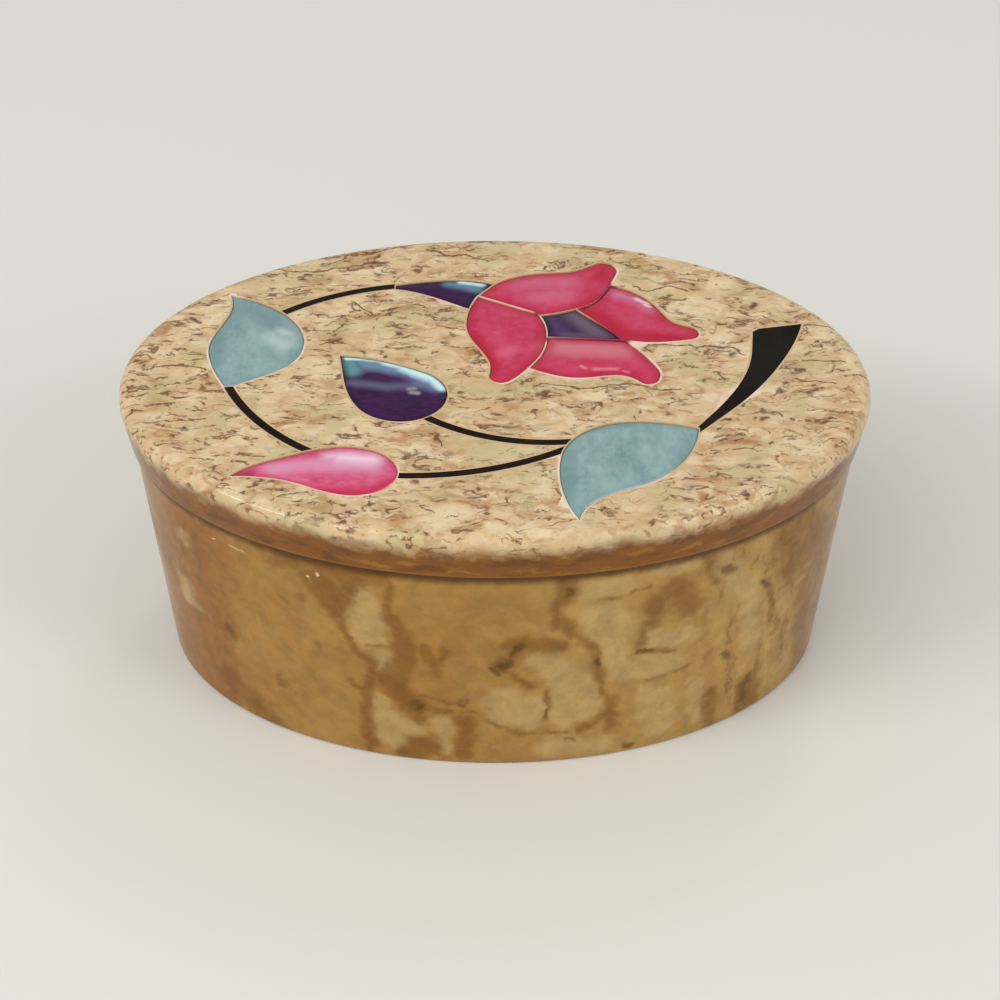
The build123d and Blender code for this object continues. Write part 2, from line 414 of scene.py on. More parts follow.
baseStone = {
    "khaki": colour(164, 120, 60),
    "olive": colour(166, 128, 66),
    "cream": colour(186, 152, 90),
    "brown": colour(130, 84, 24),
    "red": colour(146, 92, 34),
    "seam": colour(80, 46, 14),  # painted shadow under the lid's edge, with years of dust and handling in it
    "seamBand": (2.6, 0.8),  # how far below the lid the painted shadow and dust start and are full
    "seamShare": 0.85,
    "gloss": 0.18,
    "unpolished": 0.28,  # the roughness that the hollow and the underside have on top
    "frontEnd": (-20, -10),  # the Y where the front's marks give way to the back's pattern
    "ragged": 1.1,  # how far the edges of the marks break up
    "soften": 1.35,  # widens the soft edges of the marks below
    # on the front: colour, share and marks; a mark is from, to, radius, softness, in X and Z
    "layers": [
        (colour(144, 90, 30), 0.8, [
            ((-60, 30), (-54, 12), 8, 5), ((-50.4, 42), (-50, 2), 6, 4)]),
        (colour(190, 160, 106), 0.7, [
            ((-21, 36.6), (-20.9, 35.6), 2.3, 1.2), ((-21.2, 33.5), (-20.9, 28.8), 3.2, 1.2),
            ((-18.6, 24.2), (-18.4, 22), 1.9, 1), ((-19.2, 14), (-18.9, 5), 1.7, 1),
            ((-17.6, 9.6), (-14.2, 7.9), 2.4, 1.2), ((-17.8, 5.2), (-16.6, 4), 1.9, 1),
            ((-9, 9.8), (-8.8, 8), 2.2, 1), ((-9, 7), (-8.2, 3.2), 1.3, 0.9),
            ((0.5, 15.5), (5.5, 14), 3, 1.2), ((0.8, 11.8), (5.4, 11.2), 2.6, 1.2),
            ((6.4, 25), (9.8, 23.6), 1.9, 1), ((10.6, 21.6), (12.6, 18), 3.4, 1.2),
            ((12.6, 16), (14, 13.4), 4.2, 1.2), ((10.4, 12), (11.4, 9.6), 1.6, 1),
            ((15.2, 40.2), (20.4, 40), 2.3, 1.2), ((17.8, 33.6), (18.6, 30.2), 4, 1.3),
            ((19.6, 26.6), (20.4, 20.4), 2.4, 1.3), ((25.6, 41.6), (32, 41.4), 1.3, 1),
            ((25.8, 26.4), (31.4, 25.4), 2.2, 1.4), ((24, 19.8), (28.8, 19.4), 2.8, 1.2),
            ((26.4, 12.8), (27.4, 5.6), 3.2, 1.3), ((37, 40), (41.6, 31), 2.3, 1.6),
            ((42, 27), (43.6, 17), 1.7, 1.5), ((33.6, 14), (33.8, 4), 1.4, 1.2),
            ((-52.6, 24.4), (-51.8, 20.4), 1.5, 1), ((-51.7, 36.6), (-51.5, 35.4), 1.2, 1),
            ((9, 3.6), (18, 3.2), 2.2, 1.6)]),
        (colour(126, 82, 26), 0.72, [
            ((-36, 43.4), (-20, 43), 3, 1.8), ((-29.4, 40.4), (-26.4, 35.4), 3.2, 1.6),
            ((-26.2, 34.4), (-25.6, 32.2), 1.6, 1.2), ((-24.4, 40.2), (-23.6, 38.8), 1.6, 1.2),
            ((-25.2, 30.4), (-24, 26.2), 0.8, 0.8), ((-24, 26.2), (-20.6, 23), 0.9, 0.8),
            ((-20.4, 23), (-20, 19.6), 0.9, 0.8), ((-20.6, 18.6), (-21.4, 16.4), 1, 0.9),
            ((-21.4, 16.4), (-21.3, 1.4), 0.95, 0.8), ((-24.2, 17), (-22.4, 16.2), 0.9, 0.9),
            ((-21.4, 26.4), (-17.4, 26.8), 0.35, 0.5), ((-17.6, 43.6), (-17, 34), 0.9, 0.9),
            ((-16.8, 33.4), (-14.6, 30), 1.6, 1.2), ((-14.8, 30), (-14.6, 24), 2, 1.2),
            ((-15.6, 22), (-17.4, 19), 2.8, 1.3), ((-17.8, 18.6), (-13.6, 13.6), 2.1, 1.3),
            ((-13.6, 13), (-12.4, 10.4), 1, 1), ((-12, 27.2), (-10.6, 23.4), 1.3, 1),
            ((-8, 27), (-9.6, 23.4), 1, 0.9), ((-10.4, 23.6), (-9.8, 21.8), 1.2, 0.9),
            ((-12.4, 15.8), (-5.2, 14.8), 0.5, 0.7), ((-11.4, 12.8), (-3.4, 13), 0.45, 0.6),
            ((-14.6, 1.4), (-11.4, 3.6), 2.6, 1.2), ((-5.2, 10.4), (-4.4, 8.6), 1.7, 1.1),
            ((-4.4, 8.6), (-5.4, 2.8), 1.7, 1.1), ((-1.2, 10.6), (3.8, 7.6), 0.6, 0.7),
            ((3.8, 7.6), (12, 7), 0.45, 0.6), ((11.2, 44), (11.4, 38.4), 1.7, 1.2),
            ((10.4, 38), (9.6, 33.4), 1.2, 1.1), ((11, 33.4), (12.6, 30.4), 1.1, 1),
            ((1.6, 28.6), (4.4, 29.4), 1.3, 1.2), ((4.6, 28.8), (10, 28.4), 1.7, 1.2),
            ((1, 24), (3.6, 27.4), 1.7, 1.3), ((0.9, 22.8), (5.6, 19), 0.8, 0.9),
            ((8.4, 17.6), (8.6, 11), 0.55, 0.7), ((12.8, 30.6), (16.4, 25.6), 1, 1),
            ((16.5, 25.4), (17, 19.4), 1.1, 1), ((17, 19.4), (19, 13.6), 0.8, 0.9),
            ((19, 13.6), (19.6, 7), 1.3, 1.2), ((14.6, 7.6), (18.6, 10.2), 1, 0.9),
            ((16, 37.6), (24.6, 38.6), 0.4, 0.6), ((23.8, 24), (29.6, 22.4), 0.6, 0.7),
            ((24, 28.8), (23.8, 25), 0.9, 1), ((25, 16.6), (31.4, 17.4), 0.35, 0.6),
            ((28.6, 37.6), (32.4, 32.4), 2.4, 1.8), ((33.6, 44), (35.4, 36), 1, 1.2),
            ((26.4, 35.4), (25, 30), 1.6, 1.6), ((36.6, 9.4), (37.2, 1.4), 1.2, 1.1),
            ((42.8, 9), (42.4, 1.6), 1.5, 1.1), ((47, 44), (50, 30), 2.6, 1.8),
            ((51, 42), (56, 24), 3, 2), ((52.6, 24), (54, 3), 2.2, 1.6),
            ((44.8, 31), (46.6, 24), 0.8, 0.9), ((-45, 7.4), (-38.6, 1), 2.6, 1.8)]),
        (colour(82, 52, 16), 0.7, [
            ((1, 23.8), (1.8, 24.6), 1, 0.8), ((1.8, 24.8), (4, 28.4), 0.7, 0.7),
            ((-0.6, 23), (0.2, 21.8), 0.5, 0.5), ((23.9, 24), (25.4, 23.6), 0.5, 0.5),
            ((11.7, 40), (11.9, 39), 0.5, 0.5), ((37.6, 38.6), (38.2, 37.4), 0.9, 0.9),
            ((44.4, 31), (45, 29.8), 0.6, 0.6), ((38.2, 17.4), (38.8, 16.4), 0.6, 0.6),
            ((47.4, 13), (47.5, 12.2), 0.35, 0.4), ((42.9, 8.6), (42.6, 3.6), 0.8, 0.9),
            ((11.4, 5), (12.9, 5.2), 0.5, 0.6), ((22, 2), (22.8, 1.8), 0.7, 0.7),
            ((-44.8, 20.6), (-44.5, 18.2), 0.6, 1), ((-13.2, 13.6), (-12.8, 12.8), 0.7, 0.8),
            ((16.8, 24), (17, 22.2), 0.6, 0.7), ((8.4, 12.6), (8.7, 11.2), 0.5, 0.5)]),
        (colour(118, 80, 34), 0.6, [
            ((-36.5, 12.8), (-35.7, 11.8), 0.9, 0.8), ((-34.8, 33), (-34.4, 32.6), 0.7, 0.8),
            ((-31.8, 34.1), (-31.6, 33.8), 0.7, 0.8), ((-29.5, 23.8), (-29.3, 23.4), 0.6, 0.7),
            ((-49.2, 33), (-49.4, 26.4), 0.35, 0.5), ((-5.6, 14.9), (-5.2, 14.5), 0.6, 0.6)]),
        (colour(232, 208, 168), 0.8, [
            ((-28.8, 40.6), (-28.7, 40), 0.35, 0.2), ((-30.7, 39.7), (-30.6, 39.5), 0.25, 0.2),
            ((-46.4, 39.8), (-43.6, 40.6), 0.16, 0.2), ((-43.6, 40.6), (-40.6, 40.3), 0.16, 0.2)]),
    ],
}


def makeBaseStone(values):
    material, shader, place = newMaterial("soapstoneBase")
    across = axis(place, 0)
    wandering = wobbled(place, 9, 6)
    ragged = times(minus(noise(wandering, 2.8, detail=3), 0.5), values["ragged"])
    ground = between(noise(wandering, 12), 0.4, 0.6)
    ground = mixColour(ground, values["khaki"], values["olive"])

    # the back, the ends and the inside, in soft patches with veins between
    rough = wobbled(wandering, 3.4, 3.4)
    lumps = lumpsOf(rough, 12, 0.1)
    patchy = noise(rough, 9, detail=2)
    broken = mixColour(between(patchy, 0.46, 0.38, 0, 0.6), ground, values["brown"])
    broken = mixColour(between(patchy, 0.5, 0.59, 0, 0.7), broken, values["cream"])
    broken = mixColour(between(lumps["Tone"], 0.5, 0.7, 0, 0.3), broken, values["cream"])
    veins = between(plus(lumps["Vein"], ragged), 0.1, 1)
    opened = between(noise(shifted(wandering, (9, 31, 0)), 8), 0.42, 0.6, 0.05, 0.75)
    broken = mixColour(times(veins, opened), broken, values["brown"])
    reddish = between(noise(shifted(wandering, (0, 70, 3)), 14), 0.5, 0.66)
    broken = mixColour(times(reddish, 0.5), broken, values["red"])
    upright = noise(scaled(wandering, (1, 1, 0.2)), 3, detail=4)
    rounded = mixColour(between(upright, 0.42, 0.6), values["red"], values["brown"])
    ends = between(doMath("ABSOLUTE", across), 44, 55, 0, 0.8)
    broken = mixColour(ends, broken, rounded)

    # the front, with its placed marks, paler and streaked towards the right
    flat = wobbled(scaled(place, (1, 0, 1)), 4.2, 3.6)
    streaks = noise(scaled(flat, (1, 1, 0.22)), 2.4, detail=5, roughness=0.6)
    paler = mixColour(between(across, 2, 14, 0, 0.5), ground, values["cream"])
    streaky = mixColour(between(streaks, 0.5, 0.62, 0, 0.6), paler, values["brown"])
    streaky = mixColour(between(streaks, 0.46, 0.34, 0, 0.8), streaky, values["cream"])
    front = mixColour(between(across, 28, 42), paler, streaky)
    front = addLayers(flat, values["layers"], onFront, front, ragged, values["soften"])
    rubbed = times(between(across, -40, -48), between(streaks, 0.5, 0.66, 0, 0.45))
    front = mixColour(rubbed, front, values["brown"])
    paint = mixColour(between(axis(wandering, 1), *values["frontEnd"]), front, broken)
    cloudy = between(noise(wandering, 4, detail=6, roughness=0.65), 0.3, 0.7, 0.84, 1.12)
    grey = addNode("ShaderNodeCombineColor", {0: cloudy, 1: cloudy, 2: cloudy}).outputs[0]
    paint = mixColour(1, paint, grey, blend="MULTIPLY")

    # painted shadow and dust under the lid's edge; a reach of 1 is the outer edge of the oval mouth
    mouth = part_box("box_base")[1] / mm
    reach = doVector("LENGTH", doVector("DIVIDE", place, (mouth.x, mouth.y, 1000)), out=1)
    starts, full = (lidBottom - drop for drop in values["seamBand"])
    seamShadowAndDust = between(plus(axis(place, 2), ragged), starts, full, 0, values["seamShare"])
    paint = mixColour(times(seamShadowAndDust, between(reach, 0.97, 0.985)), paint, values["seam"])
    polish = polished(place, 0.7, 0.16, 0.34)
    sanded = between(reach, 0.87, 0.895, values["unpolished"], 0)
    finishSurface(shader, paint, plus(polish["Roughness"], sanded), polish["Height"], 0.2, 0.00004)
    shader.inputs["Specular IOR Level"].default_value = values["gloss"]
    return material


soapstoneLid = makeLidStone(lidStone)
soapstoneBase = makeBaseStone(baseStone)

cementMix = {
    "pale": colour(234, 212, 192),
    "stained": colour(226, 188, 166),
    "stony": colour(204, 174, 132),  # where the line is thin and has taken the stone's colour
    "rosy": colour(150, 48, 72),  # squeezed to a hair between the petals and the heart
    "rosyPlaces": [
        ((20.6, 27.6), (15.2, 21.8), 1.3, 0.8), ((15.2, 21.8), (22.4, 10.8), 0.9, 0.6),
        ((7.6, 19.6), (15.2, 21.8), 0.8, 0.6), ((9.2, 11.2), (22.4, 10.8), 0.7, 0.5),
    ],
    "palePlaces": [  # where it shows pale: from, to, radius, softness, in X and Y
        ((-3, 24), (6, 19.6), 1.6, 1), ((8.6, 17), (8.4, 4), 1.5, 1),
        ((5.6, 2.6), (2, -2.6), 1.5, 1),
        ((9, 0.4), (26, -2.6), 1.6, 1), ((28.4, -1), (24.4, 9.4), 1.6, 1),
        ((26, 9.8), (35.6, 12.6), 1.4, 1), ((22.4, 34), (20.4, 27.6), 1.2, 1),
        ((-42, -29.4), (-31, -32), 1.4, 1), ((-30, -33.4), (-19, -34.2), 1.4, 1),
        ((-15.6, -31), (-15.2, -25.6), 1, 0.8), ((-49.8, 12), (-46.4, -3), 1.3, 1),
        ((-43, -3.6), (-35.6, 1), 1.3, 1), ((-33.6, 5), (-34.4, 17.6), 1.5, 1),
        ((9.8, -24), (12, -40.6), 1.6, 1), ((15, -38.4), (27, -29.4), 1.4, 1),
        ((37.4, -9), (39.8, -4), 1.8, 1), ((42.6, -6.4), (44.4, -3.8), 1.6, 1),
        ((-10, 24), (-7, 22), 1.4, 0.8), ((-46.4, 25.8), (-45.4, 24.8), 1.2, 0.8),
    ],
}


def makeCement(values):
    material, shader, place = newMaterial("palePaste")
    flat = scaled(place, (1, 1, 0))
    stained = between(noise(place, 4), 0.4, 0.65)
    paint = mixColour(stained, values["pale"], values["stained"])
    paint = mixColour(addMarks(flat, values["palePlaces"], onTop), values["stony"], paint)
    paint = mixColour(addMarks(flat, values["rosyPlaces"], onTop), paint, values["rosy"])
    polish = polished(place, 0.3, 0.5, 0.7)
    finishSurface(shader, paint, polish["Roughness"], polish["Height"], 0.4, 0.00005)
    return material


blackStone = {
    "black": colour(22, 10, 5),
    "brown": colour(42, 24, 14),
    "green": colour(14, 16, 12),
    "greenFrom": (36, 46),  # the X where the flared stalk turns from brown-black to green-black
    "gloss": 0.1,
}


def makeBlackStone(values):
    material, shader, place = newMaterial("blackStone")
    cloudy = between(noise(place, 2.2, detail=5), 0.5, 0.75)
    paint = mixColour(cloudy, values["black"], values["brown"])
    greener = between(axis(place, 0), *values["greenFrom"], 0, 0.85)
    paint = mixColour(greener, paint, values["green"])
    polish = polished(place, 0.35, 0.5, 0.7)
    finishSurface(shader, paint, polish["Roughness"], polish["Height"], 0.3, 0.00004)
    shader.inputs["Specular IOR Level"].default_value = values["gloss"]
    return material


palePaste = makeCement(cementMix)
blackInlay = makeBlackStone(blackStone)


def rimShade(reach):  # 1 at the cut edge of a shell piece, falling to 0 inside it
    rim = addNode("ShaderNodeAttribute", attribute_name="rim").outputs["Fac"]
    return between(rim, 0, reach, 1, 0)


def makeShell(name, values):
    material, shader, place = newMaterial(name)
    flat = scaled(place, (1, 1, 0))
    soft = wobbled(flat, 3, values["wander"])
    inputs = {"Place": flat, "Size": values["cloudSize"], "Stretch": values["stretch"]}
    clouds = useGroup(shellClouds, inputs)
    paint = mixColour(clouds["Cloud"], values["deep"], values["body"])
    streaks = times(clouds["Streak"], values["streakShare"])
    paint = mixColour(streaks, paint, values["streak"])
    paint = addLayers(soft, values["layers"], onTop, paint)
    deepened = times(rimShade(values["shadeReach"]), values["shadeShare"])
    paint = mixColour(deepened, paint, values["shade"])
    # painted highlights, glints and sheen over the shell's colour
    paint = addLayers(soft, values["lights"], onTop, paint)
    paint = mixColour(times(rimShade(0.4), values["rimShare"]), paint, values["rim"])
    polish = polished(place, 0.8, 0.12, 0.26)
    height = plus(clouds["Height"], times(polish["Height"], 0.1))
    finishSurface(shader, paint, polish["Roughness"], height, 0.25, 0.0003)
    shader.inputs["Specular IOR Level"].default_value = values["gloss"]
    shader.inputs["Coat Weight"].default_value = values["gloss"] * 0.4
    shader.inputs["Coat Roughness"].default_value = 0.08
    return material


# Each shell has its clouds, then the "layers" over them, then the shade that deepens towards the
# cut edge, then the "lights", which are painted highlights, glints and sheen. A layer is its
# colour, share and marks, in X and Y.
tealShell = {
    "deep": colour(112, 146, 150), "body": colour(142, 172, 172), "streak": colour(170, 196, 192),
    "streakShare": 0.3, "cloudSize": 5, "stretch": (1, 0.55, 1), "wander": 1.5,
    "shade": colour(108, 146, 148), "shadeReach": 2.2, "shadeShare": 0.4,
    "rim": colour(70, 92, 98), "rimShare": 0.6, "gloss": 0.3,
    "layers": [
        (colour(106, 132, 142), 0.6, [
            ((-44, 21), (-39, 17), 2.8, 2.4), ((-47.6, 12), (-47, 4), 1.2, 1.2)]),
        (colour(98, 130, 134), 0.5, [
            ((11.8, -22), (11.2, -34), 1.3, 1.3), ((14.5, -15.6), (22, -13.8), 1, 1)]),
    ],
    # painted sheen: a whitish patch of reflected light on leaf_left
    "lights": [
        (colour(196, 214, 218), 0.55, [
            ((-38.8, 11.6), (-36.4, 9.6), 1.6, 1.8), ((-36.8, 13.6), (-36, 13), 0.8, 1)]),
    ],
}

violetShell = {
    "deep": colour(34, 6, 50), "body": colour(56, 12, 68), "streak": colour(80, 26, 84),
    "streakShare": 0.4, "cloudSize": 4, "stretch": (0.5, 1, 1), "wander": 0.8,
    "shade": colour(24, 4, 36), "shadeReach": 1.6, "shadeShare": 0.5,
    "rim": colour(12, 6, 14), "rimShare": 0.85, "gloss": 0.15,
    "layers": [
        (colour(94, 100, 128), 0.85, [
            ((-24.6, -1.8), (-18, -3.2), 0.9, 1.1), ((-18, -3.2), (-12.6, -2.6), 0.9, 1.3)]),
        # painted sheen: teal and lilac bands under the highlight along leaf_purple's top edge
        (colour(96, 152, 160), 0.9, [
            ((-25, 4.8), (-24, 1.6), 1.4, 1.3), ((-22.6, 4), (-17.6, 2.8), 1.4, 1.5)]),
        (colour(120, 130, 176), 0.75, [
            ((-21.4, 3), (-18, 2.6), 1, 1.5), ((-18, 2.6), (-13.6, 0.4), 1.5, 1.4),
            ((-13.6, 0.4), (-10.2, -3), 1.5, 1.4)]),
        # painted sheen: the teal fringe of the calyx's highlight
        (colour(98, 146, 168), 0.85, [((-8, 29.2), (-2.6, 27), 1.1, 1.2)]),
        (colour(110, 90, 112), 0.85, [
            ((14.2, 19), (18, 12.5), 2, 1.8), ((12, 12.4), (19, 11.8), 0.9, 1.2)]),
        (colour(80, 58, 106), 0.7, [((9.6, 17.6), (11.5, 14), 1.2, 1.2)]),
    ],
    # painted highlights along leaf_purple's top edge and on the calyx, and a painted glint low on
    # leaf_purple
    "lights": [
        (colour(208, 248, 252), 0.95, [
            ((-25.2, 5.4), (-23, 5.2), 0.4, 0.4), ((-23, 5.2), (-18.8, 4.2), 0.3, 0.6),
            ((-18.8, 4), (-14.2, 2.3), 0.6, 0.7),
            ((-15.4, 2.6), (-11, -0.4), 1.1, 1.1), ((-11, -0.4), (-9, -3.4), 0.8, 0.8),
            ((-6, 29.5), (-2.2, 28.6), 0.5, 0.6)]),
        (colour(186, 176, 196), 0.7, [
            ((-14.4, -3.9), (-13.6, -3.7), 0.3, 0.6), ((-13.9, -4.8), (-13.1, -5), 0.45, 0.6)]),
    ],
}

pinkShell = {
    "deep": colour(200, 60, 106), "body": colour(214, 88, 132), "streak": colour(228, 130, 164),
    "streakShare": 0.3, "cloudSize": 4, "stretch": (0.6, 1, 1), "wander": 0.8,
    "shade": colour(196, 30, 80), "shadeReach": 1.6, "shadeShare": 0.4,
    "rim": colour(104, 20, 56), "rimShare": 0.55, "gloss": 0.25,
    "layers": [
        (colour(222, 152, 184), 0.85, [
            ((-36, -26.2), (-29, -25), 1.5, 1.5), ((-29, -25.4), (-19.6, -26), 1.5, 1.7)]),
        (colour(196, 14, 62), 0.9, [
            ((-27, -32.6), (-20.5, -32.8), 1.3, 1.7), ((-20.5, -32.8), (-16.8, -29.6), 0.9, 1.4)]),
        (colour(150, 34, 58), 0.85, [
            ((-42.6, -28.3), (-39.8, -27.4), 0.9, 1)]),
    ],
    # painted highlight across the top of the bud, and painted sheen at its left
    "lights": [
        (colour(246, 222, 242), 0.95, [
            ((-27, -22.9), (-24, -22.6), 0.5, 2), ((-25, -23.2), (-20, -23.8), 1.1, 2.1)]),
        (colour(226, 128, 160), 0.6, [((-34, -28.2), (-30.4, -29.4), 0.4, 0.6)]),
    ],
}

redShell = {
    "deep": colour(188, 26, 70), "body": colour(204, 58, 98), "streak": colour(216, 96, 130),
    "streakShare": 0.25, "cloudSize": 6, "stretch": (0.8, 0.8, 1), "wander": 1.2,
    "shade": colour(176, 2, 50), "shadeReach": 2.6, "shadeShare": 0.75,
    "rim": colour(110, 6, 36), "rimShare": 0.55, "gloss": 0.25,
    "layers": [
        (colour(204, 112, 142), 0.6, [
            ((4.6, 29), (12.4, 29.4), 2.2, 3), ((6.4, 24.4), (12.6, 25.4), 1.6, 2.6)]),
        (colour(208, 122, 134), 0.8, [((9.6, 8.8), (21.4, 8), 2.4, 2.2)]),
        # painted sheen: mauve round the highlight on petal_right
        (colour(206, 128, 166), 0.85, [
            ((20.4, 26.6), (24.4, 24.4), 1.4, 1.6), ((24.4, 24.4), (27.6, 20.6), 1, 1.4)]),
        (colour(180, 0, 46), 0.95, [
            ((16, 20.8), (22.4, 12.8), 1.8, 2), ((22.4, 12.6), (32, 11.6), 1.3, 1.6),
            ((18.6, 31.6), (19.8, 35), 1.2, 1.3), ((-3.6, 12), (-0.6, 2.6), 1.1, 1.4)]),
    ],
    # painted sheen on petal_front, a painted highlight on petal_right and painted glints along
    # petal_lower's lower edge
    "lights": [
        (colour(222, 100, 132), 0.6, [
            ((1.6, 7), (2.6, 8), 1.2, 1.2), ((-0.2, 13.4), (0.2, 13.2), 0.2, 0.3)]),
        (colour(248, 222, 238), 0.9, [
            ((25, 24.1), (27, 22.6), 0.35, 0.6), ((26.4, 22.2), (27.2, 21.6), 0.3, 0.5)]),
        (colour(240, 166, 178), 0.6, [
            ((14.6, 2.9), (15.4, 2.3), 0.25, 0.5), ((17, 2.1), (20.6, 2.3), 0.3, 0.6),
            ((21.8, 1.5), (22.6, 1.2), 0.2, 0.4)]),
    ],
}

shells = {
    "leaf_left": "tealShell", "leaf_right": "tealShell",
    "leaf_purple": "violetShell", "flower_calyx": "violetShell", "flower_heart": "violetShell",
    "flower_bud": "pinkShell",
    "petal_front": "redShell", "petal_top": "redShell",
    "petal_right": "redShell", "petal_lower": "redShell",
}
shellFinishes = {
    "tealShell": makeShell("tealShell", tealShell),
    "violetShell": makeShell("violetShell", violetShell),
    "pinkShell": makeShell("pinkShell", pinkShell),
    "redShell": makeShell("redShell", redShell),
}
print("materials ready")


# sweeps a half section round an oval; the section's points hold set-in, share and height
def makeOvalTurning():
    tree = drawIn(bpy.data.node_groups.new("ovalTurning", "GeometryNodeTree"))
    tree.is_modifier = True
    face = tree.interface
    face.new_socket(name="Section", in_out="INPUT", socket_type="NodeSocketGeometry")
    for label, kind, value in (
        ("Half Length", "NodeSocketFloat", 0.0635),
        ("Half Width", "NodeSocketFloat", 0.045),
        ("Steps", "NodeSocketInt", 256),
    ):
        face.new_socket(name=label, in_out="INPUT", socket_type=kind).default_value = value
    face.new_socket(name="Stone", in_out="INPUT", socket_type="NodeSocketMaterial")
    face.new_socket(name="Body", in_out="OUTPUT", socket_type="NodeSocketGeometry")
    given = tree.nodes.new("NodeGroupInput").outputs
    result = tree.nodes.new("NodeGroupOutput").inputs
    rings = addNode("GeometryNodeAttributeDomainSize", {0: given["Section"]}).outputs[0]
    columns = plus(given["Steps"], 1)
    grid = addNode("GeometryNodeMeshGrid", {"Vertices X": columns, "Vertices Y": rings}).outputs[0]
    index = addNode("GeometryNodeInputIndex").outputs[0]
    column = doMath("FLOOR", doMath("DIVIDE", plus(index, 0.5), rings))
    ring = minus(index, times(column, rings))
    place = addNode("GeometryNodeInputPosition").outputs[0]
    sample = addNode("GeometryNodeSampleIndex", {0: given["Section"]}, data_type="FLOAT_VECTOR")
    tree.links.new(place, sample.inputs["Value"])
    tree.links.new(ring, sample.inputs["Index"])
    parts = addNode("ShaderNodeSeparateXYZ", {0: sample.outputs[0]}).outputs
    angle = doMath("DIVIDE", times(column, 2 * math.pi), given["Steps"])
    across, along = doMath("COSINE", angle), doMath("SINE", angle)
    edge = addNode("ShaderNodeCombineXYZ", {
        0: times(across, given["Half Length"]),
        1: times(along, given["Half Width"]),
    }).outputs[0]
    outward = addNode("ShaderNodeCombineXYZ", {
        0: times(across, given["Half Width"]),
        1: times(along, given["Half Length"]),
    }).outputs[0]
    outward = doVector("NORMALIZE", outward)
    setIn = doVector("SUBTRACT", edge, doVector("SCALE", outward, Scale=parts[0]))
    setIn = doVector("SCALE", setIn, Scale=minus(1, parts[1]))
    raised = addNode("ShaderNodeCombineXYZ", {2: parts[2]}).outputs[0]
    moved = addNode("GeometryNodeSetPosition", {0: grid, "Position": shifted(setIn, raised)})
    joined = addNode("GeometryNodeMergeByDistance", {0: moved.outputs[0], "Distance": 0.000001})
    smooth = addNode("GeometryNodeSetShadeSmooth", {0: joined.outputs[0]})
    real = addNode("GeometryNodeRealizeInstances", {0: smooth.outputs[0]})
    dressed = addNode("GeometryNodeSetMaterial", {0: real.outputs[0], "Material": given["Stone"]})
    tree.links.new(dressed.outputs[0], result["Body"])
    return tree


def roundCorners(corners, steps=7):  # the section's points; each corner is set-in, height, radius
    points = []
    hold = 0.12  # a ring just off each round keeps the flat beside it flat
    for turn in range(len(corners)):
        here = Vector(corners[turn][:2])
        radius = corners[turn][2]
        if radius == 0:
            points.append(here)
            continue
        back = (Vector(corners[turn - 1][:2]) - here).normalized()
        ahead = (Vector(corners[turn + 1][:2]) - here).normalized()
        half = back.angle(ahead) / 2
        reach = radius / math.tan(half)
        middle = here + (back + ahead).normalized() * radius / math.sin(half)
        points.append(here + back * (reach + hold))
        first = here + back * reach - middle
        sweep = first.angle_signed(here + ahead * reach - middle)
        for step in range(steps + 1):
            turned = first.copy()
            turned.rotate(Matrix.Rotation(-sweep * step / steps, 2))
            points.append(middle + turned)
        points.append(here + ahead * (reach + hold))
    return points


def linked(name, mesh):
    thing = bpy.data.objects.new(name, mesh)
    bpy.context.scene.collection.objects.link(thing)
    return thing


def bakeModifiers(thing):  # its mesh gives way to the one that its modifiers make
    shaped = thing.evaluated_get(bpy.context.evaluated_depsgraph_get())
    made = bpy.data.meshes.new_from_object(shaped)
    thing.modifiers.clear()
    thing.data = made
    return made


def faceOutward(mesh):
    work = bmesh.new()
    work.from_mesh(mesh)
    bmesh.ops.recalc_face_normals(work, faces=work.faces)
    work.to_mesh(mesh)
    work.free()


roundLoss = 0.00004  # metres that the rounding takes off the lid's widest line
weldGap = 0.0000005  # metres; points closer than this are one
flatGap = 0.00001  # metres that a flat face may be off its height


def turnedBody(name, outline, stone, tree, steps):
    points = [outline[0]] * 2 + outline + [outline[-1]] * 2
    shares = [1, 0.5] + [0] * len(outline) + [0.5, 1]  # both ends run in to the middle
    section = bpy.data.meshes.new(name + "Section")
    places = [(p.x * mm, s, p.y * mm) for p, s in zip(points, shares)]
    section.from_pydata(places, [(k, k + 1) for k in range(len(places) - 1)], [])
    thing = linked(name, section)
    modifier = thing.modifiers.new("ovalTurning", "NODES")
    modifier.node_group = tree
    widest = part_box("lid_slab")[1]
    wanted = {"Half Length": widest.x + roundLoss, "Half Width": widest.y + roundLoss}
    wanted |= {"Steps": steps, "Stone": stone}
    for socket in tree.interface.items_tree:
        if socket.in_out == "INPUT" and socket.name in wanted:
            modifier[socket.identifier] = wanted[socket.name]
    faceOutward(bakeModifiers(thing))
    return thing


baseSizes = {  # millimetres, set in from the lid's widest line
    "height": 44.3, "foot": 6.35, "mouth": 1.85, "wall": 7, "floor": 8,
    "footRound": 0.8, "rimRound": 0.35, "hollowRound": 4, "steps": 288,
}
lidSizes = {
    "height": 8.8, "edge": 1.25, "edgeRound": 2.2, "seamRound": 0.35,
    "plugDepth": 3, "plugRound": 0.7, "plugClearance": 0.5, "steps": 288,
}


def sideAt(height):  # how far the base's side is set in at a height
    foot, mouth = baseSizes["foot"], baseSizes["mouth"]
    return foot + (mouth - foot) * height / baseSizes["height"]


def buildBase(sizes, tree):
    top, floor = sizes["height"], sizes["floor"]
    inMouth, inFloor = sideAt(top) + sizes["wall"], sideAt(floor) + sizes["wall"]
    outline = roundCorners([
        (sizes["foot"] + 6, 0, 0),
        (sizes["foot"], 0, sizes["footRound"]),
        (sizes["mouth"], top, sizes["rimRound"]),
        (inMouth, top, sizes["rimRound"]),
        (inFloor, floor, sizes["hollowRound"]),
        (inFloor + 10, floor, 0),
    ])
    return turnedBody("stoneBox", outline, soapstoneBase, tree, sizes["steps"])


